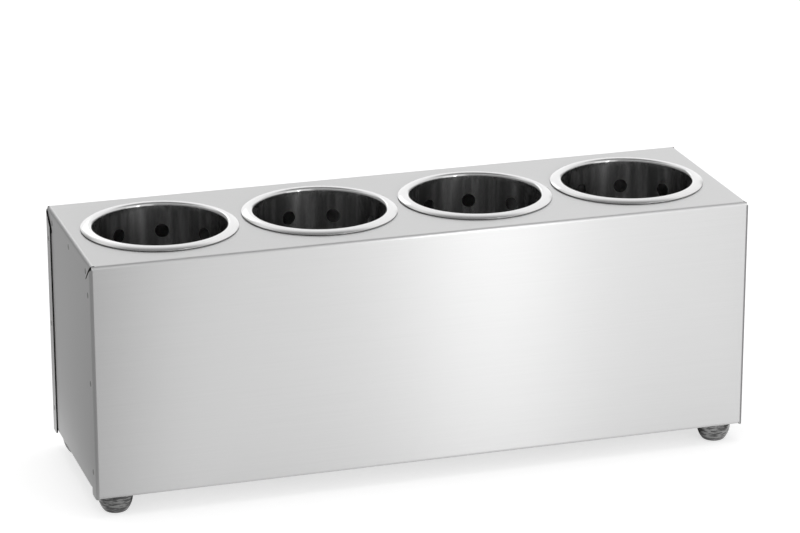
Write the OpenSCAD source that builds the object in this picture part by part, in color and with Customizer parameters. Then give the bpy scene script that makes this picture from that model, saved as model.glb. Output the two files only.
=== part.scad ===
// Counter-top cutlery dispenser: a housing folded from one sheet of stainless steel, with a row
// of perforated cups that hang by their rims in its top and lift out for washing.
// Origin: centre of the footprint, on the table. +X along the row, -Y to the front, +Z up.

/* [Housing] */
// Distance from the centre of an end cup to the end of the housing
end_margin = 68.25; // [66:0.25:90]
// Depth of the housing, front to back
housing_d = 148; // [140:1:180]
// Height of the folded housing, without its feet
housing_h = 175; // [165:1:220]
// Thickness of the steel sheet
sheet_t = 1; // [0.8:0.1:1.2]
// Outer radius of every fold
fold_r = 2.5; // [2:0.1:3.5]
// How short of the sharp corner the folds along the top stop
corner_gap = 1.6; // [1:0.1:2.4]

/* [Ends] */
// Width of the lips that the front and the back return round the ends
lip_w = 13; // [11:0.5:18]
// Depth of a lip's mitre at its fold and at its free edge
lip_mitre = [2, 13];
// Radius of a lip's bottom corner
lip_corner_r = 2; // [1:0.5:4]
// How far the end flaps stop above the bottom edge
flap_lift = 2.9; // [1:0.1:6]
// Radius of an end flap's bottom corners
flap_corner_r = 20; // [8:1:30]
// Gap between an end flap's upright edges and the folds beside them
flap_gap = 0.5; // [0.2:0.1:1]
// Width of the relief slot cut across each top corner of a flap
relief_w = 5; // [4:0.5:6]
// Slope of the relief slot, degrees below the horizontal
relief_slope = 39; // [35:1:43]

/* [Bottom flanges] */
// Width of the flanges turned in along the bottom of the front and the back
flange_w = 28; // [27:1:34]
// Radius of the flanges' free corners
flange_corner_r = 6; // [2:1:10]

/* [Spot welds] */
// Width of a spot weld's dimple
weld_d = 4.4; // [3:0.1:6]
// Depth of a spot weld's dimple
weld_depth = 0.3; // [0.1:0.05:0.4]
// Distance of the welds on a lip from the front or the back
weld_inset = 8; // [6:0.5:9]
// Heights of the welds on a lip, above the bottom edge
lip_weld_heights = [19, 86, 152];
// Depth of the welds on an end flap below the top
flap_weld_drop = 8.5; // [6:0.5:10]
// Distance between neighbouring welds on an end flap
flap_weld_pitch = 56; // [40:1:60]

/* [End stiffeners] */
// Height of the stiffener's leg on the end flap
stiffener_h = 15; // [12:1:20]
// Width of the stiffener's leg under the top
stiffener_w = 11; // [8:1:12]
// Gap between the stiffener's end and the front or the back sheet
stiffener_clearance = 4; // [3:0.5:8]

/* [Cups] */
// Number of cups in the row
cup_count = 4; // [1:1:6]
// Distance between neighbouring cups
cup_pitch = 119.5; // [116:0.5:140]
// Inside diameter of a cup
cup_bore = 97; // [90:0.5:98]
// Inside depth of a cup, from its crest to its base
cup_depth = 137; // [120:1:150]
// Thickness of a cup's sheet
cup_t = 0.8; // [0.6:0.1:1]
// Radius between the wall and the base
base_r = 6; // [3:0.5:10]
// Outside diameter of the rim
rim_d = 114.5; // [112:0.5:115.5]
// Height of the rim's crest above the housing
rim_rise = 2.8; // [2.2:0.1:3.2]
// Radius of the bend from the wall into the rim
throat_r = 2.5; // [2:0.1:2.8]
// Gap between a cup's wall and the edge of its opening in the top
cup_clearance = 1.2; // [0.6:0.1:2]
// Gap that the seated rim keeps to the top
seat_gap = 0.05; // [0:0.01:0.1]

/* [Cup perforation] */
// Diameter of the holes
hole_d = 10; // [6:0.5:12]
// Number of holes in a row
holes_per_row = 9; // [6:1:10]
// Number of rows
hole_rows = 5; // [1:1:5]
// Depth of the top row below the housing's top
first_row_drop = 19; // [14:1:24]
// Distance between neighbouring rows
row_pitch = 24; // [16:1:24]
// Number of holes in the ring in the base
base_holes = 6; // [4:1:8]
// Radius of the ring of holes in the base
base_ring_r = 27; // [20:1:34]
// How each cup happens to be turned in its opening, degrees
cup_turns = [-5.6, 12, 27, -16, 6, 33];

/* [Feet] */
// Diameter of a foot at its collar
foot_top_d = 25.2; // [23:0.2:27]
// Height of a foot
foot_h = 14.5; // [13:0.5:20]
// Height of the straight collar at a foot's top
foot_collar = 2.5; // [1:0.5:3]
// Radius of the domed side, seen in section
foot_dome_r = 18; // [16:0.5:24]
// Radius of the round between a foot's side and its flat base
foot_round_r = 2.5; // [1.5:0.5:3]
// Thickness of the rubber above the pocket in a foot's underside
foot_roof = 4; // [3:0.5:5]
// Distance of a foot's centre from the end
foot_inset_x = 17; // [16:0.5:40]
// Distance of a foot's centre from the front or the back
foot_inset_y = 15; // [14.5:0.5:18]

/* [Fasteners] */
// Diameter of the screw's shank
screw_d = 5; // [4:0.5:5]
// Diameter and height of the screw's pan head
screw_head = [8.6, 3];
// Length of the screw under its head
screw_l = 12; // [11:0.5:14]
// Width and length of the arms of the head's cross recess, and its depth
recess = [1, 4.2, 1.6];
// Diameter and thickness of the washer inside the foot
washer = [10, 1];
// Gap between the washer and the wall of its pocket
washer_gap = 0.1; // [0.05:0.05:0.5]
// Width across the flats and height of the nut, with its flange
nut = [8, 4];
// Diameter and thickness of the nut's flange
nut_flange = [11, 1.2];
// Gap between the screw's shank and the hole in the flange, foot and washer
screw_clearance = 0.25; // [0.1:0.05:0.5]

/* [Hidden] */
$fn = 96;
eps = 0.01;
through = 2;                                 // how far a drill runs past the sheet that it cuts
cup_ids = [0 : cup_count - 1];
housing_w = (cup_count - 1) * cup_pitch + 2 * end_margin;
end_x = housing_w / 2;
side_y = housing_d / 2;
floor_z = foot_h;                            // the housing's bottom edge
top_z = floor_z + housing_h;
fold_in_r = fold_r - sheet_t;
flap_x = end_x - sheet_t;                    // outer face of an end flap, behind the lips
flap_edge_y = side_y - fold_r - flap_gap;    // free edges of an end flap
cup_r = cup_bore / 2;
wall_r = cup_r + cup_t;
opening_r = wall_r + cup_clearance;
seat_z = top_z + seat_gap;
throat_x = cup_r + throat_r;                 // radius at the rim's crest
crest_z = top_z + rim_rise;
base_z = crest_z - cup_depth - cup_t;        // underside of a cup's base
rim_run = rim_d / 2 - throat_x;
rim_drop = crest_z - seat_z;
rim_r = (rim_run * rim_run + rim_drop * rim_drop) / (2 * rim_drop);   // arc from crest to edge
weld_sphere_r = (weld_d * weld_d / 4 + weld_depth * weld_depth) / (2 * weld_depth);
washer_seat_z = floor_z - foot_roof;         // top of the pocket in a foot's underside
pocket_r = washer[0] / 2 + washer_gap;
shank_hole_r = screw_d / 2 + screw_clearance;
head_top_z = washer_seat_z - washer[1];
nut_corner_r = nut[0] / 2 / cos(30);         // the hexagon's corners
corners = [["front_left", -1, -1], ["front_right", 1, -1], ["rear_left", -1, 1], ["rear_right", 1, 1]];
ends = [["left", -1], ["right", 1]];

function cup_x(i) = (i - (cup_count - 1) / 2) * cup_pitch;
function foot_place(c) = [c[1] * (end_x - foot_inset_x), c[2] * (side_y - foot_inset_y), 0];

// Copies its children to both sides of the plane square to the given axis
module both(axis) {
    children();
    mirror(axis) children();
}

// Turns an outline drawn in (Y, Z) into a slab of the given thickness, starting at X = 0
module slab(thickness) {
    rotate([90, 0, 90]) linear_extrude(thickness) children();
}

// Quarter ring of folded sheet in the quadrant that x_sign and y_sign point to
module fold_profile(x_sign, y_sign) {
    intersection() {
        difference() {
            circle(fold_r);
            circle(fold_in_r);
        }
        scale([x_sign, y_sign]) square(fold_r);
    }
}

// Square with its free corners, those on the +X side, rounded to a radius
module tab(size, r) {
    square([size[0] - r, size[1]]);
    translate([0, r]) square([size[0], size[1] - 2 * r]);
    for (y = [r, size[1] - r]) translate([size[0] - r, y]) circle(r);
}

// Lip's outline in (Y, Z), from the fold at the front to its free edge, with its top mitred
module lip_outline() {
    difference() {
        union() {
            translate([-side_y + fold_r, floor_z]) square([lip_w - fold_r - lip_corner_r, housing_h]);
            translate([-side_y + fold_r, floor_z + lip_corner_r])
                square([lip_w - fold_r, housing_h - lip_corner_r]);
            translate([-side_y + lip_w - lip_corner_r, floor_z + lip_corner_r]) circle(lip_corner_r);
        }
        lip_mitre_cut();
    }
}

// Everything above a lip's mitre, in (Y, Z)
module lip_mitre_cut() {
    rise = through * (lip_mitre[1] - lip_mitre[0]) / lip_w;
    polygon([
        [-side_y - through, top_z + through],
        [-side_y - through, top_z - lip_mitre[0] + rise],
        [-side_y + lip_w + through, top_z - lip_mitre[1] - rise],
        [-side_y + lip_w + through, top_z + through]]);
}

// Vertical fold between the front and the lip at the +X end, and the lip itself
module lip() {
    difference() {
        translate([end_x - fold_r, -side_y + fold_r, floor_z])
            linear_extrude(housing_h) fold_profile(1, -1);
        translate([end_x - fold_r - eps, 0, 0]) slab(fold_r + through) lip_mitre_cut();
    }
    translate([end_x - sheet_t, 0, 0]) slab(sheet_t) lip_outline();
}

// Front sheet with its folds at the top and the bottom, its lips and its bottom flange
module front_side() {
    plate_w = housing_w - 2 * fold_r;
    fold_w = housing_w - 2 * corner_gap;
    translate([-plate_w / 2, -side_y, floor_z + fold_r])
        cube([plate_w, sheet_t, housing_h - 2 * fold_r]);
    translate([-fold_w / 2, -side_y + fold_r, top_z - fold_r]) slab(fold_w) fold_profile(-1, 1);
    translate([-plate_w / 2, -side_y + fold_r, floor_z + fold_r]) slab(plate_w) fold_profile(-1, -1);
    both([1, 0, 0]) lip();
    bottom_flange();
}

// Flange turned in along the bottom, drilled for its two feet
module bottom_flange() {
    plate_w = housing_w - 2 * fold_r;
    difference() {
        translate([plate_w / 2, -side_y + fold_r, floor_z]) rotate([0, 0, 90])
            linear_extrude(sheet_t) tab([flange_w - fold_r, plate_w], flange_corner_r);
        for (x = [-1, 1]) translate([x * (end_x - foot_inset_x), -side_y + foot_inset_y, floor_z - through])
            cylinder(r = shank_hole_r, h = sheet_t + 2 * through);
    }
}

// End flap's outline in (Y, Z), with round bottom corners and a relief slot at each top corner
module flap_outline() {
    bottom = floor_z + flap_lift;
    difference() {
        union() {
            translate([-flap_edge_y, bottom + flap_corner_r])
                square([2 * flap_edge_y, top_z - fold_r - bottom - flap_corner_r]);
            translate([-flap_edge_y + flap_corner_r, bottom])
                square([2 * (flap_edge_y - flap_corner_r), flap_corner_r + eps]);
            for (s = [-1, 1]) translate([s * (flap_edge_y - flap_corner_r), bottom + flap_corner_r])
                circle(flap_corner_r);
        }
        both([1, 0]) relief_slot();
    }
}

// Slot that frees the flap from the lip at a top corner, in (Y, Z)
module relief_slot() {
    length = lip_w + relief_w;
    translate([-side_y + corner_gap, top_z - corner_gap]) rotate(-relief_slope) {
        translate([-relief_w, -relief_w]) square([length + relief_w, relief_w]);
        translate([length, -relief_w / 2]) circle(relief_w / 2);
    }
}

// Fold along the top's +X edge and the end flap below it
module end_side() {
    fold_l = housing_d - 2 * corner_gap;
    translate([flap_x - fold_r, fold_l / 2, top_z - fold_r]) rotate([90, 0, 0])
        linear_extrude(fold_l) fold_profile(1, 1);
    translate([flap_x - sheet_t, 0, 0]) slab(sheet_t) flap_outline();
}

// Top sheet with a round opening for each cup
module top_sheet() {
    w = 2 * (flap_x - fold_r);
    d = housing_d - 2 * fold_r;
    difference() {
        translate([-w / 2, -d / 2, top_z - sheet_t]) cube([w, d, sheet_t]);
        for (i = cup_ids) translate([cup_x(i), 0, top_z - sheet_t - through])
            cylinder(r = opening_r, h = sheet_t + 2 * through);
    }
}

// Shallow dimples that spot welding leaves in the lips and the end flaps
module weld_dimples() {
    both([1, 0, 0]) {
        for (s = [-1, 1], h = lip_weld_heights)
            translate([end_x + weld_sphere_r - weld_depth, s * (side_y - weld_inset), floor_z + h])
                sphere(weld_sphere_r);
        for (k = [-1 : 1])
            translate([flap_x + weld_sphere_r - weld_depth, k * flap_weld_pitch, top_z - flap_weld_drop])
                sphere(weld_sphere_r);
    }
}

module housing_shell() {
    color("silver") difference() {
        union() {
            top_sheet();
            both([0, 1, 0]) front_side();
            both([1, 0, 0]) end_side();
        }
        weld_dimples();
    }
}

// Angle spot-welded to the inside of an end flap, close under the top; side is -1 or 1
module end_stiffener(side) {
    length = housing_d - 2 * (sheet_t + stiffener_clearance);
    color("darkgray") mirror([side < 0 ? 1 : 0, 0, 0])
        translate([flap_x - sheet_t, length / 2, top_z - sheet_t]) rotate([90, 0, 0])
            linear_extrude(length) {
                translate([-fold_r, -fold_r]) fold_profile(1, 1);
                translate([-sheet_t, -stiffener_h]) square([sheet_t, stiffener_h - fold_r]);
                translate([-stiffener_w, -sheet_t]) square([stiffener_w - fold_r, sheet_t]);
            }
}

// Half section of a cup: base, wall, throat and domed rim, in (radius, Z)
module cup_section() {
    throat_z = crest_z - throat_r;
    translate([0, base_z]) square([wall_r - base_r, cup_t]);
    translate([cup_r, base_z + base_r]) square([cup_t, throat_z - base_z - base_r]);
    translate([wall_r - base_r, base_z + base_r]) intersection() {
        difference() {
            circle(base_r);
            circle(base_r - cup_t);
        }
        translate([0, -base_r]) square(base_r);
    }
    translate([throat_x, throat_z]) intersection() {
        difference() {
            circle(throat_r);
            circle(throat_r - cup_t);
        }
        translate([-throat_r, 0]) square(throat_r);
    }
    intersection() {
        translate([throat_x, crest_z - rim_r]) difference() {
            circle(rim_r);
            circle(rim_r - cup_t);
        }
        translate([throat_x, seat_z]) square([rim_run, rim_drop]);
    }
}

module cup(i) {
    color("gainsboro") translate([cup_x(i), 0, 0]) rotate(cup_turns[i]) difference() {
        rotate_extrude() cup_section();
        wall_holes();
        base_perforation();
    }
}

// Rows of holes round the wall, each row turned by half a pitch from the one above
module wall_holes() {
    step = 360 / holes_per_row;
    for (row = [0 : hole_rows - 1], k = [0 : holes_per_row - 1])
        translate([0, 0, top_z - first_row_drop - row * row_pitch])
            rotate([0, 0, 90 + (k + row % 2 / 2) * step]) rotate([0, 90, 0])
                translate([0, 0, cup_r - through]) cylinder(d = hole_d, h = cup_t + 2 * through);
}

// Drain holes in the base: one in the middle and a ring round it
module base_perforation() {
    translate([0, 0, base_z - through]) {
        cylinder(d = hole_d, h = cup_t + 2 * through);
        for (k = [0 : base_holes - 1]) rotate(k * 360 / base_holes) translate([base_ring_r, 0, 0])
            cylinder(d = hole_d, h = cup_t + 2 * through);
    }
}

// Half section of a rubber foot, in (radius, Z): collar, domed side, round and flat base
module foot_section() {
    dome_z = foot_h - foot_collar;
    dome_x = foot_top_d / 2 - foot_dome_r;
    reach = foot_dome_r - foot_round_r;              // from the dome's centre to the round's
    round_x = dome_x + sqrt(reach * reach - pow(dome_z - foot_round_r, 2));
    touch_z = dome_z - (dome_z - foot_round_r) * foot_dome_r / reach;
    square([round_x, foot_h]);
    translate([round_x, foot_round_r]) circle(foot_round_r);
    translate([0, dome_z]) square([foot_top_d / 2, foot_collar]);
    intersection() {
        translate([dome_x, dome_z]) circle(foot_dome_r);
        translate([0, touch_z]) square([foot_top_d / 2, dome_z - touch_z]);
    }
}

module foot(c) {
    color("dimgray") translate(foot_place(c)) difference() {
        rotate_extrude() foot_section();
        translate([0, 0, -through]) cylinder(r = pocket_r, h = washer_seat_z + through);
        cylinder(r = shank_hole_r, h = foot_h + through);
    }
}

// Steel washer that spreads the screw's load at the top of the foot's pocket
module foot_washer(c) {
    color("silver") translate(foot_place(c)) translate([0, 0, washer_seat_z - washer[1]]) difference() {
        cylinder(d = washer[0], h = washer[1]);
        translate([0, 0, -through]) cylinder(r = shank_hole_r, h = washer[1] + 2 * through);
    }
}

// Pan-head screw, driven from below through the foot and the flange
module foot_screw(c) {
    head_r = screw_head[0] / 2;
    head_h = screw_head[1];
    dome_r = (head_r * head_r + head_h * head_h) / (2 * head_h);
    color("silver") translate(foot_place(c)) translate([0, 0, head_top_z]) difference() {
        union() {
            cylinder(d = screw_d, h = screw_l);
            intersection() {
                translate([0, 0, dome_r - head_h]) sphere(dome_r);
                translate([0, 0, -head_h]) cylinder(r = head_r, h = head_h);
            }
        }
        for (a = [0, 90]) rotate(a) translate([-recess[1] / 2, -recess[0] / 2, -head_h - eps])
            cube([recess[1], recess[0], recess[2]]);
    }
}

// Flanged hexagon nut on the flange's inside
module foot_nut(c) {
    color("silver") translate(foot_place(c)) translate([0, 0, floor_z + sheet_t]) difference() {
        union() {
            cylinder(d = nut_flange[0], h = nut_flange[1]);
            intersection() {
                cylinder(r = nut_corner_r, h = nut[1], $fn = 6);
                cylinder(
                    r1 = nut_corner_r + nut[1], r2 = nut[0] / 2, h = nut[1] + nut_corner_r - nut[0] / 2);
            }
        }
        translate([0, 0, -through]) cylinder(d = screw_d, h = nut[1] + 2 * through);
    }
}

housing_shell();
for (e = ends) end_stiffener(e[1]);
for (i = cup_ids) cup(i);
for (c = corners) {
    foot(c);
    foot_washer(c);
    foot_screw(c);
    foot_nut(c);
}
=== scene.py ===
import math

import bmesh
import bpy
from mathutils import Matrix, Vector


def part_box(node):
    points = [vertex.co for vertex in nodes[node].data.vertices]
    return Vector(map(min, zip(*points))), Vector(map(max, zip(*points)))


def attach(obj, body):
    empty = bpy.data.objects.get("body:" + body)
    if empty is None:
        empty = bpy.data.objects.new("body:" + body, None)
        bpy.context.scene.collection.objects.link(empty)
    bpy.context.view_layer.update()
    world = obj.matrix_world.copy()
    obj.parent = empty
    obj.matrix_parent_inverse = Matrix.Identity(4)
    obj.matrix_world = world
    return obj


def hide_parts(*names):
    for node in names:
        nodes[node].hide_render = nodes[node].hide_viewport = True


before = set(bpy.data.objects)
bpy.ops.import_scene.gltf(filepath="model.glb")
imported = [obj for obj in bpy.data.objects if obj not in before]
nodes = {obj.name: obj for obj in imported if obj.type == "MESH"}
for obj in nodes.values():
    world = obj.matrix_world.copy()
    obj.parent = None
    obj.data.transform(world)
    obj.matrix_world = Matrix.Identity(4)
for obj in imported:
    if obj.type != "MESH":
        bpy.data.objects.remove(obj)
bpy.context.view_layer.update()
print("scene: frame loaded with", len(nodes), "nodes")

corners = ["front_left", "front_right", "rear_left", "rear_right"]
ends = ["left", "right"]
cupNumbers = [1, 2, 3, 4]
mm = 0.001


def addNode(tree, kind, inputs=None, **settings):
    node = tree.nodes.new(kind)
    for name, value in settings.items():
        setattr(node, name, value)
    for key, value in (inputs or {}).items():
        socket = node.inputs[key]
        if isinstance(value, bpy.types.NodeSocket):
            tree.links.new(value, socket)
        else:
            socket.default_value = value
    return node


def calc(tree, operation, first, second=0.0):
    return addNode(tree, "ShaderNodeMath", {0: first, 1: second}, operation=operation).outputs[0]


def vectorCalc(tree, operation, first, second=(0, 0, 0)):
    return addNode(tree, "ShaderNodeVectorMath", {0: first, 1: second}, operation=operation).outputs


def splitUp(tree, vector):
    return addNode(tree, "ShaderNodeSeparateXYZ", {0: vector}).outputs


def vectorOf(tree, x, y, z=0.0):
    return addNode(tree, "ShaderNodeCombineXYZ", {0: x, 1: y, 2: z}).outputs[0]


def blend(tree, factor, low, high):
    return addNode(tree, "ShaderNodeMix", {"Factor": factor, 2: low, 3: high}, data_type="FLOAT").outputs[0]


def noiseAt(tree, vector, detail, scale=1.0):
    noise = addNode(tree, "ShaderNodeTexNoise", {"Vector": vector, "Scale": scale, "Detail": detail})
    return noise.outputs["Fac"]


def addObject(name, data):
    thing = bpy.data.objects.new(name, data)
    bpy.context.scene.collection.objects.link(thing)
    return thing


def startMaterial(name, **sockets):
    material = bpy.data.materials.new(name)
    material.use_nodes = True
    principled = material.node_tree.nodes["Principled BSDF"]
    for key, value in sockets.items():
        principled.inputs[key.replace("_", " ")].default_value = value
    return material, material.node_tree, principled.inputs


photoCamera = {
    "lens": 155.59,                 # mm
    "sensor": 36,                   # mm wide
    "clip": (0.05, 80),             # metres
    "place": (-0.71939, -2.30453, 0.96874),     # metres
    "turn": -17.374,                # degrees from +Y, negative towards +X
    "tilt": -18.931,                # degrees from the horizon
    "roll": -0.063,                 # degrees
}


def addCamera():
    data = bpy.data.cameras.new("photoCamera")
    data.lens = photoCamera["lens"]
    data.sensor_width = photoCamera["sensor"]
    data.clip_start, data.clip_end = photoCamera["clip"]
    camera = addObject("photoCamera", data)
    camera.matrix_world = (
        Matrix.Translation(photoCamera["place"])
        @ Matrix.Rotation(math.radians(photoCamera["turn"]), 4, "Z")
        @ Matrix.Rotation(math.radians(90 + photoCamera["tilt"]), 4, "X")
        @ Matrix.Rotation(math.radians(photoCamera["roll"]), 4, "Z")
    )
    bpy.context.scene.camera = camera


addCamera()
print("scene: camera set")

studio = {
    "floorSize": 30.0,              # metres
    "floorDrop": 0.1 * mm,          # below what the feet stand on
    "floorColour": 0.55,
    "floorLift": 0.66,              # what brings the lit floor up to white
    "fill": 0.62,                   # the world's light on matt surfaces
    "dark": 0.3,                    # what the metal sees of the studio's dark sides
    "floorTurn": 16,                # degrees, turn of the line past which the floor's left side is dark: a painted shade that only the metal's rays see
    "leftFloor": (-0.18, -0.34),    # metres across that line, from light to dark
    "skyTurn": 3.5,                 # the same for the walls, with the next as a share of the way round
    "leftSky": (0.0, -0.2),
    "leftHeight": (0.35, 0.7),      # height of a direction, over which the left wall turns light
    "leftTop": 0.8,                 # how light it is above that
    "rightFrom": (0.255, -0.08, 0),     # metres: the dark side on the right fans out from here
    "rightSpan": (0.5, 0.75),       # sine of the way round to the right, from light to dark
    "rightHeight": (0.05, 0.35),    # height over which the right wall turns light
    "backFrom": (0.0, 0.5),         # how far a direction points to the back, from plain to the next
    "backSky": 1.3,
    "zenithFrom": (0.7, 0.95),      # height of a direction, from plain to the next
    "zenith": 0.3,
    "underHalf": (0.245, 0.072),    # metres, half size of the patch under the object, a painted shadow, dark to the metal
    "underSoft": 0.02,
    "nearFloor": 0.86,              # painted shade: what the metal sees of the floor right beside the object
    "nearReach": 0.4,               # metres, over which that fades out
}
softboxes = {
    "stripRight": {
        "place": (0.64, -1.87, 0.65), "aim": (0.05, -0.074, 0.3), "size": (0.14, 1.2), "power": 1.7},
    "wideRight": {
        "place": (1.1, -1.9, 0.8), "aim": (0.1, 0, 0.1), "size": (1.0, 1.2), "power": 2.0},
    "behind": {
        "place": (-0.1, 2.2, 1.15), "aim": (-0.05, 0, 0.19), "size": (0.55, 0.7), "power": 1.0},
    "overhead": {
        "place": (0.1, 0.1, 1.9), "aim": (0, 0, 0.1), "size": (1.6, 1.2), "power": 9.0, "mattOnly": True},
}


def ramp(tree, value, span, low=0.0, high=1.0):
    return addNode(tree, "ShaderNodeMapRange", {
        "Value": value, "From Min": span[0], "From Max": span[1], "To Min": low, "To Max": high},
        interpolation_type="SMOOTHSTEP").outputs[0]


def across(tree, vector, axis):
    return vectorCalc(tree, "DOT_PRODUCT", vector, axis)["Value"]


def backgroundRays(tree):
    path = addNode(tree, "ShaderNodeLightPath")
    glossy = path.outputs["Is Glossy Ray"]
    seen = calc(tree, "MAXIMUM", path.outputs["Is Camera Ray"], glossy)
    return calc(tree, "MAXIMUM", seen, path.outputs["Is Transmission Ray"]), glossy


def darkLeft(tree, vector, turn, span):
    # how light the studio is on the left, seen by the metal, across a line turned by some degrees
    axis = (math.cos(math.radians(turn)), math.sin(math.radians(turn)), 0)
    return ramp(tree, across(tree, vector, axis), span, 1.0, studio["dark"])


def darkRight(tree, vector):
    # the same on the right, by the way round
    level = vectorCalc(tree, "MULTIPLY", vector, (1, 1, 0))[0]
    way = vectorCalc(tree, "NORMALIZE", level)[0]
    return ramp(tree, across(tree, way, (1, 0, 0)), studio["rightSpan"], 1.0, studio["dark"])


def onlyWhere(tree, mask, value):
    # the value where the mask is 1, and 1 elsewhere
    return blend(tree, mask, 1.0, value)


def buildWorld():
    world = bpy.data.worlds.new("studioWorld")
    bpy.context.scene.world = world
    world.use_nodes = True
    tree = world.node_tree
    tree.nodes.clear()
    seen, glossy = backgroundRays(tree)
    direction = addNode(tree, "ShaderNodeTexCoord").outputs["Generated"]
    split = splitUp(tree, direction)
    left = calc(tree, "MAXIMUM", darkLeft(tree, direction, studio["skyTurn"], studio["leftSky"]),
                ramp(tree, split["Z"], studio["leftHeight"], 0.0, studio["leftTop"]))
    right = calc(tree, "MAXIMUM", darkRight(tree, direction), ramp(tree, split["Z"], studio["rightHeight"]))
    above = calc(tree, "MULTIPLY", ramp(tree, split["Y"], studio["backFrom"], 1.0, studio["backSky"]),
                 ramp(tree, split["Z"], studio["zenithFrom"], 1.0, studio["zenith"]))
    shade = calc(tree, "MULTIPLY", calc(tree, "MINIMUM", left, right), above)
    plain = blend(tree, seen, studio["fill"], 1.0)
    strength = calc(tree, "MULTIPLY", plain, onlyWhere(tree, glossy, shade))
    light = addNode(tree, "ShaderNodeBackground", {"Color": (1, 1, 1, 1), "Strength": strength})
    addNode(tree, "ShaderNodeOutputWorld", {"Surface": light.outputs[0]})


def besideObject(tree, place):
    # distance from the rectangle that the object covers, negative inside it
    split = splitUp(tree, place)
    sides = [calc(tree, "SUBTRACT", calc(tree, "ABSOLUTE", split[axis]), half)
             for axis, half in zip("XY", studio["underHalf"])]
    return calc(tree, "MAXIMUM", *sides)


def buildFloor():
    half = studio["floorSize"] / 2
    low = -studio["floorDrop"]
    mesh = bpy.data.meshes.new("floor")
    mesh.from_pydata([(-half, -half, low), (half, -half, low), (half, half, low), (-half, half, low)],
                     [], [(0, 1, 2, 3)])
    material, tree, shader = startMaterial("paleFloor", Roughness=1.0, Specular_IOR_Level=0.0,
                                           Emission_Color=(1, 1, 1, 1))
    place = addNode(tree, "ShaderNodeTexCoord").outputs["Object"]
    seen, glossy = backgroundRays(tree)
    fromRight = vectorCalc(tree, "SUBTRACT", place, studio["rightFrom"])[0]
    beside = besideObject(tree, place)
    # painted shade: for the metal's rays, the floor's colour and glow darken on the left, on the right and
    # close beside the object
    left = darkLeft(tree, place, studio["floorTurn"], studio["leftFloor"])
    sides = calc(tree, "MINIMUM", left, darkRight(tree, fromRight))
    near = ramp(tree, beside, (0.0, studio["nearReach"]), studio["nearFloor"], 1.0)
    shade = onlyWhere(tree, glossy, calc(tree, "MULTIPLY", sides, near))
    tone = calc(tree, "MULTIPLY", shade, studio["floorColour"])
    colour = addNode(tree, "ShaderNodeCombineColor", {0: tone, 1: tone, 2: tone})
    tree.links.new(colour.outputs[0], shader["Base Color"])
    lift = calc(tree, "MULTIPLY", calc(tree, "MULTIPLY", seen, studio["floorLift"]), shade)
    # painted shadow: no glow on the floor under the object, for the metal's rays only
    patch = onlyWhere(tree, glossy, ramp(tree, beside, (-studio["underSoft"], 0.0)))
    tree.links.new(calc(tree, "MULTIPLY", lift, patch), shader["Emission Strength"])
    mesh.materials.append(material)
    addObject("floor", mesh)


def addSoftboxes():
    for name, lamp in softboxes.items():
        data = bpy.data.lights.new(name, "AREA")
        data.shape = "RECTANGLE"
        data.size, data.size_y = lamp["size"]
        data.energy = lamp["power"]
        thing = addObject(name, data)
        thing.location = lamp["place"]
        direction = Vector(lamp["aim"]) - Vector(lamp["place"])
        thing.rotation_euler = direction.to_track_quat("-Z", "Y").to_euler()
        thing.visible_camera = False
        thing.visible_glossy = not lamp.get("mattOnly", False)


buildWorld()
buildFloor()
addSoftboxes()
bpy.context.scene.view_settings.view_transform = "Standard"
print("scene: studio built")


def startTree(kind, name, inputs, outputs):
    tree = bpy.data.node_groups.new(name, kind)
    for direction, sockets in (("INPUT", inputs), ("OUTPUT", outputs)):
        for socket, socketKind in sockets.items():
            tree.interface.new_socket(name=socket, in_out=direction, socket_type=socketKind)
    return tree, addNode(tree, "NodeGroupInput").outputs


brushing = {
    "layers": ((1.0, 1.0), (3.0, 5.0)),     # how much longer and wider the fine and the broad lines are
    "broadShare": 0.4,
    "detail": 3.0,
}
clouding = {"detail": 2.0, "contrast": (0.35, 0.65)}


def brushLines():
    # fine parallel lines on a sheet whose X runs along the brushing
    tree, given = startTree("ShaderNodeTree", "brushLines", {
        "Sheet": "NodeSocketVector", "Line Length": "NodeSocketFloat", "Line Width": "NodeSocketFloat",
    }, {"Shade": "NodeSocketFloat", "Height": "NodeSocketFloat"})
    split = splitUp(tree, given["Sheet"])
    layers = []
    for longer, wider in brushing["layers"]:
        along = calc(tree, "DIVIDE", split["X"], calc(tree, "MULTIPLY", given["Line Length"], longer))
        beside = calc(tree, "DIVIDE", split["Y"], calc(tree, "MULTIPLY", given["Line Width"], wider))
        layers.append(noiseAt(tree, vectorOf(tree, along, beside), brushing["detail"]))
    shade = blend(tree, brushing["broadShare"], *layers)
    addNode(tree, "NodeGroupOutput", {"Shade": shade, "Height": layers[0]})
    return tree


def softClouds():
    # slow patches, as a sheet's finish and the touch of hands leave
    tree, given = startTree("ShaderNodeTree", "softClouds", {
        "Vector": "NodeSocketVector", "Size": "NodeSocketFloat"}, {"Mask": "NodeSocketFloat"})
    scale = calc(tree, "DIVIDE", 1.0, given["Size"])
    noise = noiseAt(tree, given["Vector"], clouding["detail"], scale)
    low, high = clouding["contrast"]
    mask = addNode(tree, "ShaderNodeMapRange", {"Value": noise, "From Min": low, "From Max": high})
    addNode(tree, "NodeGroupOutput", {"Mask": mask.outputs[0]})
    return tree


groups = {"brushLines": brushLines(), "softClouds": softClouds()}


def useGroup(tree, name, inputs):
    return addNode(tree, "ShaderNodeGroup", inputs, node_tree=groups[name]).outputs


def between(tree, factor, low, high):
    return addNode(tree, "ShaderNodeMapRange", {"Value": factor, "To Min": low, "To Max": high}).outputs[0]


def tinted(tree, factor, low, high):
    # each of the two colours is three numbers or a socket
    ends = {key: (*colour, 1) if isinstance(colour, tuple) else colour
            for key, colour in ((6, low), (7, high))}
    return addNode(tree, "ShaderNodeMix", {"Factor": factor, **ends}, data_type="RGBA").outputs[2]


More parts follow.
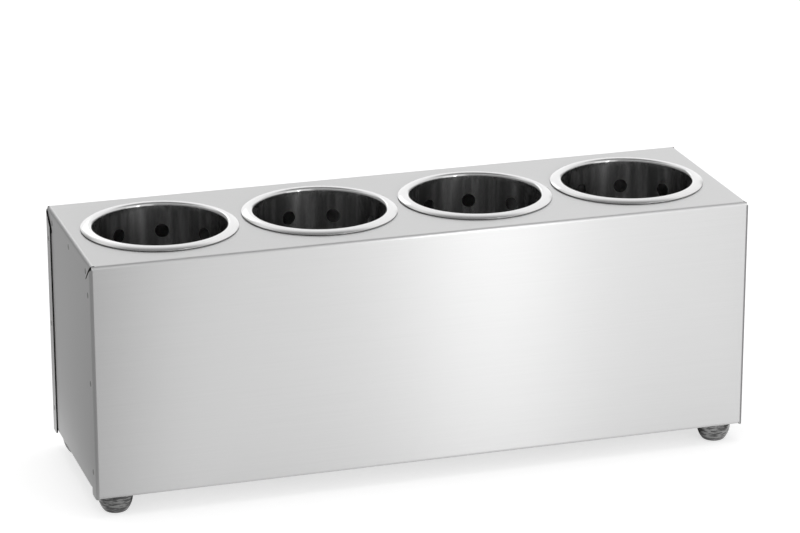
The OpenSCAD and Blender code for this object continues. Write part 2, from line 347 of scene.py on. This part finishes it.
def bumped(tree, height, depth):
    bump = addNode(tree, "ShaderNodeBump", {"Height": height, "Distance": depth, "Strength": 1.0})
    return bump.outputs[0]


quarterTurn = 0.25      # of the lined metals' highlights


def startLined(name, look):
    # metal with fine lines along its flat sheet
    material, tree, shader = startMaterial(
        name, Metallic=1.0, Anisotropic=look["anisotropy"], Anisotropic_Rotation=quarterTurn)
    sheet = addNode(tree, "ShaderNodeUVMap", uv_map="flatSheet").outputs[0]
    lines = useGroup(tree, "brushLines", {
        "Sheet": sheet, "Line Length": look["lineLength"], "Line Width": look["lineWidth"]})
    tangent = addNode(tree, "ShaderNodeTangent", direction_type="UV_MAP", uv_map="flatSheet")
    tree.links.new(tangent.outputs[0], shader["Tangent"])
    return material, tree, shader, lines, sheet


brushedLook = {
    "dark": (0.63, 0.63, 0.63), "light": (0.70, 0.70, 0.70),
    "roughness": (0.29, 0.33), "anisotropy": 1.0,
    "lineLength": 0.05, "lineWidth": 0.00035, "lineDepth": 0.0000015,      # metres
}


def brushedSteel():
    look = brushedLook
    material, tree, shader, lines = startLined("brushedSteel", look)[:4]
    tree.links.new(tinted(tree, lines["Shade"], look["dark"], look["light"]), shader["Base Color"])
    tree.links.new(between(tree, lines["Shade"], *look["roughness"]), shader["Roughness"])
    tree.links.new(bumped(tree, lines["Height"], look["lineDepth"]), shader["Normal"])
    return material


polishedLook = {
    "dark": (0.59, 0.59, 0.59), "light": (0.64, 0.64, 0.64), "anisotropy": 0.9,
    "lineLength": 0.03, "lineWidth": 0.00025,       # metres
    "wall": (0.2, 0.26), "rim": (0.15, 0.18),       # roughness of each
    "rimFrom": (0.186, 0.189),          # metres up the sheet
    "drawn": (0.31, 0.31, 0.31),        # painted reflection: colour of the dark upright streaks on the wall, which stand in for the surroundings it mirrors
    "streakWidth": 0.011,               # metres
    "streaksUp": 6.0,                   # per metre
    "streakFrom": (0.58, 0.44),         # of the noise, from no streak to a full one
    "streakDetail": 2.0,
}


def polishedSteel():
    look = polishedLook
    material, tree, shader, lines, sheet = startLined("polishedSteel", look)
    split = splitUp(tree, sheet)
    onRim = ramp(tree, split["Y"], look["rimFrom"])
    # painted reflection: dark upright streaks on the wall below the rim stand in for the surroundings the
    # polished wall mirrors
    column = vectorOf(tree, calc(tree, "DIVIDE", split["X"], look["streakWidth"]),
                      calc(tree, "MULTIPLY", split["Y"], look["streaksUp"]))
    streaks = ramp(tree, noiseAt(tree, column, look["streakDetail"]), look["streakFrom"])
    drawn = calc(tree, "MULTIPLY", streaks, calc(tree, "SUBTRACT", 1.0, onRim))
    plain = tinted(tree, lines["Shade"], look["dark"], look["light"])
    tree.links.new(tinted(tree, drawn, plain, look["drawn"]), shader["Base Color"])
    finish = blend(tree, onRim, between(tree, lines["Shade"], *look["wall"]),
                   between(tree, lines["Shade"], *look["rim"]))
    tree.links.new(finish, shader["Roughness"])
    return material


plainLooks = {      # darkest and lightest colour, roughness, and size of the patches in metres
    "millSteel": ((0.46, 0.46, 0.455), (0.56, 0.56, 0.55), (0.34, 0.46), 0.01),
    "zincPlate": ((0.58, 0.60, 0.62), (0.68, 0.69, 0.69), (0.22, 0.34), 0.003),
    # painted shadow: near-black cut edges stand in for the shade in the gaps beside the lips and under the
    # cup rims
    "cutEdgeShadow": ((0.02, 0.02, 0.02), (0.05, 0.05, 0.05), (0.45, 0.6), 0.004),
    # painted highlight: a lighter copy of the steel on the holes' edges, for their bright crescents
    "holeEdgeHighlight": ((0.72, 0.72, 0.72), (0.8, 0.8, 0.8), (0.3, 0.4), 0.003),
    # darker, duller steel on the sloping sides of the spot welds' dimples
    "weldMark": ((0.24, 0.24, 0.24), (0.34, 0.34, 0.33), (0.35, 0.45), 0.001),
}


def plainMetal(name):
    dark, light, roughness, size = plainLooks[name]
    material, tree, shader = startMaterial(name, Metallic=1.0)
    place = addNode(tree, "ShaderNodeTexCoord").outputs["Object"]
    clouds = useGroup(tree, "softClouds", {"Vector": place, "Size": size})
    tree.links.new(tinted(tree, clouds["Mask"], dark, light), shader["Base Color"])
    tree.links.new(between(tree, clouds["Mask"], *roughness), shader["Roughness"])
    return material


rubberLook = {
    "dark": (0.012, 0.012, 0.012), "light": (0.13, 0.13, 0.127), "roughness": (0.12, 0.2),
    "streak": (160, 900),           # per metre, round the foot and up it
    "streakDetail": 2.0,
    "streakFrom": (0.42, 0.6),      # of the noise, from dull to shiny; the shiny streaks are also lighter, a painted sheen
    "gloss": (0.15, 1.0),           # of the wet-looking coat, in the dull and the shiny streaks
    "shadedSole": (0.9 * mm, 2.6 * mm),   # the height over which the dark, dull bottom, a painted shade where the foot meets the floor, turns glossy
}


def footRubber():
    look = rubberLook
    material, tree, shader = startMaterial("footRubber", IOR=1.7, Coat_IOR=2.4, Coat_Roughness=0.05)
    place = addNode(tree, "ShaderNodeTexCoord").outputs["Object"]
    level, upright = look["streak"]
    stretched = addNode(tree, "ShaderNodeMapping", {"Vector": place, "Scale": (level, level, upright)})
    streaks = ramp(tree, noiseAt(tree, stretched.outputs[0], look["streakDetail"]), look["streakFrom"])
    # painted sheen and shade: lighter colour in the shiny streaks, and a dark bottom where the foot meets
    # the floor; coat and roughness follow the same mask
    glossAndPaintedSheen = calc(tree, "MULTIPLY", streaks, ramp(tree, splitUp(tree, place)["Z"], look["shadedSole"]))
    tree.links.new(tinted(tree, glossAndPaintedSheen, look["dark"], look["light"]), shader["Base Color"])
    tree.links.new(between(tree, glossAndPaintedSheen, *look["roughness"]), shader["Roughness"])
    tree.links.new(between(tree, glossAndPaintedSheen, *look["gloss"]), shader["Coat Weight"])
    return material


materials = {
    "brushed_steel": brushedSteel(),
    "polished_steel": polishedSteel(),
    "mill_steel": plainMetal("millSteel"),
    "zinc_plated_steel": plainMetal("zincPlate"),
    "rubber": footRubber(),
    "cut_edge_shadow": plainMetal("cutEdgeShadow"),
    "hole_edge_highlight": plainMetal("holeEdgeHighlight"),
    "weld_mark": plainMetal("weldMark"),
}
print("scene: materials built")

housing = {
    "foldRadius": 2.5 * mm,
    "sheet": 1 * mm,
    "foldStop": 1.6 * mm,       # how short of the sharp corner the folds along the top end
    "slack": 0.05 * mm,
    "cutShare": 0.3,            # a cut edge keeps less of its area than this on the flat sheet
    "markWithin": 1.3 * mm,     # of the end's outermost plane
    "markBelow": 5 * mm,        # down from the top
    "markSlope": (0.8, 0.9999),     # how far along X the faces of a spot weld's dimple look
    "slotStart": (1.5 * mm, -0.9 * mm),     # in from the front and down from the top
    "slotBend": (12.2 * mm, 7.4 * mm),
    "slotEnd": (17.2 * mm, 13.6 * mm),
    "slotSteps": 5,
    "slotWidth": 1.6 * mm,                  # at its end
    "slotLower": (13.05 * mm, 10.9 * mm),   # clear of the lip's mitre, which starts 2 mm down
    "slotFrom": 3.2 * mm,                   # down from the top, where its lower edge starts
    "slotDepth": (1.6 * mm, 4 * mm),        # of the cut, outside and inside the end's outermost plane
    "stiffenerCut": 8.5 * mm,               # by which a stiffener's ends stand back
}
joinWithin = 0.002 * mm


def arcPoints(centre, radius, start, end, steps):
    angles = [math.radians(start + (end - start) * k / steps) for k in range(steps + 1)]
    return [(centre[0] + radius * math.cos(a), centre[1] + radius * math.sin(a)) for a in angles]


def bakedMesh(thing, name):
    # the mesh that an object's modifiers make, as plain data
    graph = bpy.context.evaluated_depsgraph_get()
    mesh = bpy.data.meshes.new_from_object(
        thing.evaluated_get(graph), preserve_all_data_layers=True, depsgraph=graph)
    mesh.name = name
    bpy.data.objects.remove(thing)
    return mesh


def mergedCopy(node, name):
    # the node's mesh with its loose corners joined and its smooth normals kept
    source = nodes[node].data
    normals = [tuple(corner.vector) for corner in source.corner_normals]
    mesh = source.copy()
    mesh.name = name
    shape = bmesh.new()
    shape.from_mesh(mesh)
    bmesh.ops.remove_doubles(shape, verts=shape.verts, dist=joinWithin)
    shape.to_mesh(mesh)
    shape.free()
    if len(mesh.loops) == len(normals):
        mesh.normals_split_custom_set(normals)
    mesh.materials.clear()
    return mesh


def alongSheet(out, up, down, straight, length):
    # distance along a sheet that runs straight, folds down, runs a length down, and folds in again;
    # out, up and down are measured from the middles of the two folds
    radius = housing["foldRadius"]
    quarter = radius * math.pi / 2
    if up > 0:
        return straight + (radius * math.atan2(out, up) if out > 0 else out)
    if down <= 0:
        return straight + quarter - up
    if out > 0:
        return straight + quarter + length + radius * math.atan2(down, out)
    return straight + 2 * quarter + length - out


def flatPlace(point, centre, low, high):
    # where a corner of the folded housing lies on its flat sheet, by the part that its face belongs to
    radius, sheet, slack = housing["foldRadius"], housing["sheet"], housing["slack"]
    inX, inY, below = high.x - abs(centre.x), high.y - abs(centre.y), high.z - centre.z
    x, y, z = abs(point.x), abs(point.y), point.z
    signX, signY = math.copysign(1, point.x), math.copysign(1, point.y)
    up = z - (high.z - radius)
    if inX < radius and inY < radius and (below > radius or inX < housing["foldStop"] - slack):
        foldedX = alongSheet(x - (high.x - radius), y - (high.y - radius), -1, high.x - radius, 0)
        return signX * foldedX, signY * (high.y - radius + radius * math.pi / 2 - up)
    reach = radius + sheet if below < radius else 2 * sheet
    if inX < reach + slack and inY > housing["foldStop"] - slack:
        straight = high.x - sheet - radius
        return signX * alongSheet(x - straight, up, -1, straight, 0), point.y
    straight = high.y - radius
    length = high.z - low.z - 2 * radius
    return point.x, signY * alongSheet(y - straight, up, low.z + radius - z, straight, length)


def areaOf(places):
    return abs(sum(a[0] * b[1] - b[0] * a[1] for a, b in zip(places, places[1:] + places[:1]))) / 2


def onWeldMark(face, high):
    # whether a face looks aslant on an end, clear of the folds, as only a spot weld's dimple does
    aslant, square = housing["markSlope"]
    return (high.x - abs(face.center.x) < housing["markWithin"]
            and high.y - abs(face.center.y) > housing["foldRadius"]
            and high.z - face.center.z > housing["markBelow"]
            and aslant < abs(face.normal.x) < square)


def addFlatSheet(mesh, low, high):
    # sheet coordinates for every face; cut edges have no place on it, which tells them
    layer = mesh.uv_layers.new(name="flatSheet")
    for face in mesh.polygons:
        places = [flatPlace(mesh.vertices[v].co, face.center, low, high) for v in face.vertices]
        for corner, place in zip(face.loop_indices, places):
            layer.data[corner].uv = place
        # a cut edge gets the near-black steel, a painted shadow of the gap beside it
        if areaOf(places) < housing["cutShare"] * face.area:
            face.material_index = 1
        elif onWeldMark(face, high):
            face.material_index = 2


def slotCutter(low, high):
    # prisms that widen the relief slot above each front lip's mitre, curved down at its end
    (startIn, startDown), (bendIn, bendDown), (endIn, endDown) = (
        housing[k] for k in ("slotStart", "slotBend", "slotEnd"))
    half = housing["slotWidth"] / 2
    rounded = arcPoints((endIn, endDown), half, 0, 180, housing["slotSteps"] + 1)
    shares = [k / housing["slotSteps"] for k in range(housing["slotSteps"])]
    bend = [((1 - t) ** 2 * startIn + 2 * t * (1 - t) * bendIn + t * t * (endIn + half),
             (1 - t) ** 2 * startDown + 2 * t * (1 - t) * bendDown + t * t * endDown)
            for t in shares]
    outline = bend + rounded + [housing["slotLower"], (startIn, housing["slotFrom"])]
    outside, inside = housing["slotDepth"]
    shape = bmesh.new()
    for side in (-1, 1):
        rings = [[shape.verts.new((side * x, low.y + y, high.z - z)) for y, z in outline]
                 for x in (high.x + outside, high.x - inside)]
        shape.faces.new(rings[0])
        shape.faces.new(rings[1][::-1])
        for k in range(len(outline)):
            after = (k + 1) % len(outline)
            shape.faces.new((rings[0][k], rings[1][k], rings[1][after], rings[0][after]))
    bmesh.ops.recalc_face_normals(shape, faces=shape.faces)
    mesh = bpy.data.meshes.new("slotCutter")
    shape.to_mesh(mesh)
    shape.free()
    return addObject("slotCutter", mesh)


def buildHousing():
    low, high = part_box("housing_shell")
    draft = addObject("housingDraft", mergedCopy("housing_shell", "housingDraft"))
    cutter = slotCutter(low, high)
    slots = draft.modifiers.new("slots", "BOOLEAN")
    slots.object = cutter
    slots.solver = "EXACT"
    mesh = bakedMesh(draft, "housing_sheet")
    bpy.data.objects.remove(cutter)
    mesh.materials.clear()
    for finish in ("brushed_steel", "cut_edge_shadow", "weld_mark"):
        mesh.materials.append(materials[finish])
    addFlatSheet(mesh, low, high)
    piece = addObject("housing_sheet", mesh)
    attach(piece, "housing")
    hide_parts("housing_shell")
    counts = [sum(f.material_index == k for f in mesh.polygons) for k in (1, 2)]
    print("scene: housing sheet laid out, with", counts[0], "cut faces and", counts[1], "in weld marks")


buildHousing()
print("scene: housing built")

cup = {
    "bore": 97 * mm, "sheet": 0.8 * mm, "throat": 2.5 * mm, "baseRound": 6 * mm,
    "holeSize": 10 * mm, "holesAround": 9, "rows": 5, "topRowDrop": 19 * mm, "rowPitch": 24 * mm,
    "firstHole": 90, "baseHoles": 6, "baseRing": 27 * mm,
    "turns": (-15, 12, 27, -16),    # degrees, how each cup happens to sit in its opening
    "cellSides": 12,                # steps along each side of the patch round a hole
    "cellBias": 3.0,                # brings the patch's middle ring close to the hole
    "joinWithin": 0.005 * mm,
    "arcSteps": 8, "domeSteps": 12,
    "edgeRound": 0.2 * mm, "edgeSegments": 2,
    "edgeTilt": 32.3,               # degrees, slope of the rim where it ends, a hair above the top
    "edgeSlack": 8,                 # degrees by which its cut edge is steeper than that, at least
    "roundAbove": 60, "sharpAbove": 50,     # degrees between two faces
    "wallNear": 1 * mm,             # of the wall's middle
    "wallFacing": 0.9,              # the wall's faces look this much straight out or in
    "holeFacing": 0.8,              # and a hole's edge less than this
}


def trapezoid(tree, turn):
    # runs 1, 1, 0, -1, -1, 0 round a square's border, for a turn from 0 to 1
    fraction = calc(tree, "FRACT", calc(tree, "ADD", turn, 0.5))
    distance = calc(tree, "ABSOLUTE", calc(tree, "SUBTRACT", fraction, 0.5))
    level = calc(tree, "SUBTRACT", 2.0, calc(tree, "MULTIPLY", distance, 8.0))
    return calc(tree, "MAXIMUM", calc(tree, "MINIMUM", level, 1.0), -1.0)


def positionOf(tree):
    return addNode(tree, "GeometryNodeInputPosition").outputs[0]


def placed(tree, geometry, position):
    return addNode(tree, "GeometryNodeSetPosition", {"Geometry": geometry, "Position": position}).outputs[0]


def holedCell(tree, holeRadius, halfWide, halfHigh, steps):
    # flat patch of sheet, two rings of faces round the hole in its middle
    rings = addNode(tree, "GeometryNodeMeshGrid", {
        "Size X": 1.0, "Size Y": 1.0, "Vertices X": steps, "Vertices Y": 3}).outputs[0]
    here = splitUp(tree, positionOf(tree))
    turn = calc(tree, "ADD", here["X"], 0.5)
    angle = calc(tree, "MULTIPLY", turn, 2 * math.pi)
    outward = calc(tree, "POWER", calc(tree, "ADD", here["Y"], 0.5), cup["cellBias"])
    axes = []
    for wave, quarter, half in (("COSINE", 0.0, halfWide), ("SINE", 0.25, halfHigh)):
        hole = calc(tree, "MULTIPLY", calc(tree, wave, angle), holeRadius)
        border = calc(tree, "MULTIPLY", trapezoid(tree, calc(tree, "SUBTRACT", turn, quarter)), half)
        axes.append(blend(tree, outward, hole, border))
    return placed(tree, rings, vectorOf(tree, *axes))


def perforatedWall():
    # a flat field of holed cells, every other row moved by half a step, rolled into a cylinder
    number, whole = "NodeSocketFloat", "NodeSocketInt"
    tree, given = startTree("GeometryNodeTree", "perforatedWall", {
        "Geometry": "NodeSocketGeometry", "Bore Radius": number, "Hole Radius": number,
        "Holes Around": whole, "Rows": whole, "Row Pitch": number, "Top Row Height": number,
        "First Hole Angle": number, "Cell Steps": whole, "Material": "NodeSocketMaterial",
    }, {"Geometry": "NodeSocketGeometry"})
    tree.is_modifier = True
    radius, pitch = given["Bore Radius"], given["Row Pitch"]
    step = calc(tree, "DIVIDE", calc(tree, "MULTIPLY", radius, 2 * math.pi), given["Holes Around"])
    half = calc(tree, "MULTIPLY", step, 0.5)
    halfPitch = calc(tree, "MULTIPLY", pitch, 0.5)
    cell = holedCell(tree, given["Hole Radius"], half, halfPitch, given["Cell Steps"])
    lastColumn = calc(tree, "SUBTRACT", given["Holes Around"], 1.0)
    lastRow = calc(tree, "SUBTRACT", given["Rows"], 1.0)
    field = addNode(tree, "GeometryNodeMeshGrid", {
        "Size X": calc(tree, "MULTIPLY", lastColumn, step),
        "Size Y": calc(tree, "MULTIPLY", lastRow, pitch),
        "Vertices X": given["Holes Around"], "Vertices Y": given["Rows"]}).outputs[0]
    here = splitUp(tree, positionOf(tree))
    middle = calc(tree, "MULTIPLY", lastRow, 0.5)
    row = calc(tree, "ROUND", calc(tree, "SUBTRACT", middle, calc(tree, "DIVIDE", here["Y"], pitch)))
    stagger = calc(tree, "MULTIPLY", calc(tree, "FLOORED_MODULO", row, 2.0), half)
    start = calc(tree, "MULTIPLY", given["First Hole Angle"], radius)
    shifted = calc(tree, "ADD", calc(tree, "ADD", here["X"], stagger), start)
    height = calc(tree, "SUBTRACT", given["Top Row Height"], calc(tree, "MULTIPLY", row, pitch))
    points = placed(tree, field, vectorOf(tree, shifted, height))
    copies = addNode(tree, "GeometryNodeInstanceOnPoints", {"Points": points, "Instance": cell})
    flat = addNode(tree, "GeometryNodeRealizeInstances", {"Geometry": copies.outputs[0]})
    place = positionOf(tree)
    mapped = addNode(tree, "GeometryNodeStoreNamedAttribute", {
        "Geometry": flat.outputs[0], "Name": "flatSheet", "Value": place},
        data_type="FLOAT2", domain="CORNER")
    split = splitUp(tree, place)
    angle = calc(tree, "DIVIDE", split["X"], radius)
    rolled = vectorOf(tree, calc(tree, "MULTIPLY", calc(tree, "COSINE", angle), radius),
                      calc(tree, "MULTIPLY", calc(tree, "SINE", angle), radius), split["Y"])
    wall = placed(tree, mapped.outputs[0], rolled)
    both = addNode(tree, "GeometryNodeJoinGeometry")
    tree.links.new(wall, both.inputs[0])
    tree.links.new(given["Geometry"], both.inputs[0])
    joined = addNode(tree, "GeometryNodeMergeByDistance", {
        "Geometry": both.outputs[0], "Distance": cup["joinWithin"]})
    smooth = addNode(tree, "GeometryNodeSetShadeSmooth", {
        "Geometry": joined.outputs[0], "Shade Smooth": True})
    solid = addNode(tree, "GeometryNodeRealizeInstances", {"Geometry": smooth.outputs[0]})
    done = addNode(tree, "GeometryNodeSetMaterial", {
        "Geometry": solid.outputs[0], "Material": given["Material"]})
    addNode(tree, "NodeGroupOutput", {"Geometry": done.outputs[0]})
    return tree


def pathLengths(profile):
    lengths = [0.0]
    for a, b in zip(profile, profile[1:]):
        lengths.append(lengths[-1] + math.dist(a, b))
    return lengths


def spin(shape, layer, profile, around, start):
    # turns a profile of (radius, height) points into a band whose sheet coordinates begin at start
    lengths = pathLengths(profile)
    turns = [2 * math.pi * k / around for k in range(around)]
    rings = [[shape.verts.new((radius * math.cos(t), radius * math.sin(t), height)) for t in turns]
             for radius, height in profile]
    for i in range(len(profile) - 1):
        for k in range(around):
            after = (k + 1) % around
            face = shape.faces.new((rings[i][k], rings[i + 1][k], rings[i + 1][after], rings[i][after]))
            places = ((i, k), (i + 1, k), (i + 1, k + 1), (i, k + 1))
            for loop, (row, column) in zip(face.loops, places):
                loop[layer].uv = (2 * math.pi * column / around * cup["bore"] / 2, start + lengths[row])
    return rings


def fillBase(shape, layer, border, height):
    # flat base inside the border ring, with its drain holes
    edges = [shape.edges.get(pair) or shape.edges.new(pair)
             for pair in zip(border, border[1:] + border[:1])]
    ring = [(cup["baseRing"] * math.cos(t), cup["baseRing"] * math.sin(t))
            for t in (2 * math.pi * k / cup["baseHoles"] for k in range(cup["baseHoles"]))]
    sides = 4 * cup["cellSides"]
    radius = cup["holeSize"] / 2
    turns = [2 * math.pi * k / sides for k in range(sides)]
    for x, y in [(0, 0)] + ring:
        rim = [shape.verts.new((x + radius * math.cos(t), y + radius * math.sin(t), height)) for t in turns]
        edges += [shape.edges.new(pair) for pair in zip(rim, rim[1:] + rim[:1])]
    made = bmesh.ops.triangle_fill(
        shape, edges=edges, use_beauty=True, use_dissolve=False, normal=(0, 0, 1))
    for face in made["geom"]:
        if isinstance(face, bmesh.types.BMFace):
            face.normal_update()
            if face.normal.z < 0:
                face.normal_flip()
            for loop in face.loops:
                loop[layer].uv = loop.vert.co.xy


def cupBands(top, crest, base, rimRadius):
    # the plain parts of a cup: base, the round above it, and throat and rim over the top row of holes
    mesh = bpy.data.meshes.new("cupBands")
    shape = bmesh.new()
    layer = shape.loops.layers.uv.new("flatSheet")
    radius = cup["bore"] / 2
    around = cup["holesAround"] * cup["cellSides"]
    wallTop = top - cup["topRowDrop"] + cup["rowPitch"] / 2
    wallBottom = wallTop - cup["rows"] * cup["rowPitch"]
    inner = cup["baseRound"] - cup["sheet"]
    lower = arcPoints((radius - inner, base + cup["baseRound"]), inner, -90, 0, cup["arcSteps"])
    lower.append((radius, wallBottom))
    throatX = radius + cup["throat"]
    dome = (rimRadius - throatX) / math.sin(math.radians(cup["edgeTilt"]))
    domeArc = arcPoints((throatX, crest - dome), dome, 90, 90 - cup["edgeTilt"], cup["domeSteps"])
    upper = ([(radius, wallTop), (radius, (wallTop + crest - cup["throat"]) / 2)]
             + arcPoints((throatX, crest - cup["throat"]), cup["throat"], 180, 90, cup["arcSteps"])
             + domeArc[1:])
    rings = spin(shape, layer, lower, around, wallBottom - pathLengths(lower)[-1])
    spin(shape, layer, upper, around, wallTop)
    fillBase(shape, layer, rings[0], base + cup["sheet"])
    shape.to_mesh(mesh)
    shape.free()
    return mesh


def setRollNormals(mesh, radius, low, high):
    # a drawn wall is a true cylinder between its holes, so its normals are set square to the axis
    normals = [corner.vector.copy() for corner in mesh.corner_normals]
    for face in mesh.polygons:
        for index in face.loop_indices:
            point = mesh.vertices[mesh.loops[index].vertex_index].co
            flat = Vector((point.x, point.y, 0))
            if low <= point.z <= high and abs(flat.length - radius) < cup["wallNear"]:
                out = flat.normalized()
                facing = face.normal.dot(out)
                if abs(facing) > cup["wallFacing"]:
                    normals[index] = out if facing > 0 else -out
    mesh.normals_split_custom_set(normals)


def markEdges(mesh, rimRadius, low, high):
    # the rim's cut edge gets the near-black painted shadow of the gap under the rim, and the holes' edges a
    # lighter steel, a painted highlight
    steepest = math.cos(math.radians(cup["edgeTilt"] + cup["edgeSlack"]))
    for face in mesh.polygons:
        out = Vector((face.center.x, face.center.y, 0))
        facing = abs(face.normal.dot(out.normalized()))
        if out.length > rimRadius - cup["sheet"] and face.normal.z < steepest:
            face.material_index = 1
        elif low < face.center.z < high and facing < cup["holeFacing"]:
            face.material_index = 2


def buildCupMesh():
    low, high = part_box("cup_1")
    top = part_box("housing_shell")[1].z
    rimRadius = (high.x - low.x) / 2
    draft = addObject("cupDraft", cupBands(top, high.z, low.z, rimRadius))
    tree = perforatedWall()
    values = {
        "Bore Radius": cup["bore"] / 2, "Hole Radius": cup["holeSize"] / 2,
        "Holes Around": cup["holesAround"], "Rows": cup["rows"], "Row Pitch": cup["rowPitch"],
        "Top Row Height": top - cup["topRowDrop"],
        "First Hole Angle": math.radians(cup["firstHole"]), "Cell Steps": 4 * cup["cellSides"] + 1,
        "Material": materials["polished_steel"]}
    modifier = draft.modifiers.new("perforatedWall", "NODES")
    modifier.node_group = tree
    for item in tree.interface.items_tree:
        if item.name in values:
            modifier[item.identifier] = values[item.name]
    thick = draft.modifiers.new("thick", "SOLIDIFY")
    thick.thickness = cup["sheet"]
    thick.offset = -1
    thick.use_even_offset = True
    rounded = draft.modifiers.new("rounded", "BEVEL")
    rounded.width = cup["edgeRound"]
    rounded.segments = cup["edgeSegments"]
    rounded.limit_method = "ANGLE"
    rounded.angle_limit = math.radians(cup["roundAbove"])
    mesh = bakedMesh(draft, "cup")
    mesh.set_sharp_from_angle(angle=math.radians(cup["sharpAbove"]))
    for finish in ("cut_edge_shadow", "hole_edge_highlight"):
        mesh.materials.append(materials[finish])
    bodyLow = low.z + cup["baseRound"]
    markEdges(mesh, rimRadius, bodyLow, top)
    return mesh, bodyLow, high.z - cup["throat"]


def buildCups():
    first, low, high = buildCupMesh()
    for number, turn in zip(cupNumbers, cup["turns"]):
        node = f"cup_{number}"
        mesh = first.copy()
        mesh.transform(Matrix.Rotation(math.radians(turn), 4, "Z"))
        setRollNormals(mesh, cup["bore"] / 2 + cup["sheet"] / 2, low, high)
        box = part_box(node)
        mesh.transform(Matrix.Translation(((box[0].x + box[1].x) / 2, 0, 0)))
        piece = addObject(f"{node}_drawn", mesh)
        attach(piece, f"cup_body_{number}")
        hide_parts(node)
    print("scene: cups built,", len(first.polygons), "faces each")


buildCups()


def dress(node, slotName):
    target = nodes[node]
    target.data.materials.clear()
    target.data.materials.append(materials[slotName])


def shortStiffener(end):
    # its ends stand back from the corners, where the relief slots open the view into the housing
    node = f"end_stiffener_{end}"
    low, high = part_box(node)
    mesh = mergedCopy(node, f"{node}_angle")
    mesh.materials.append(materials["mill_steel"])
    for vertex in mesh.vertices:
        if min(vertex.co.y - low.y, high.y - vertex.co.y) < housing["stiffenerCut"]:
            vertex.co.y -= math.copysign(housing["stiffenerCut"], vertex.co.y)
    piece = addObject(f"{node}_angle", mesh)
    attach(piece, "housing")
    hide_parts(node)


for end in ends:
    shortStiffener(end)
for corner in corners:
    dress(f"foot_{corner}", "rubber")
    for kind in ("foot_washer", "foot_screw", "foot_nut"):
        dress(f"{kind}_{corner}", "zinc_plated_steel")
print("scene: nodes dressed")
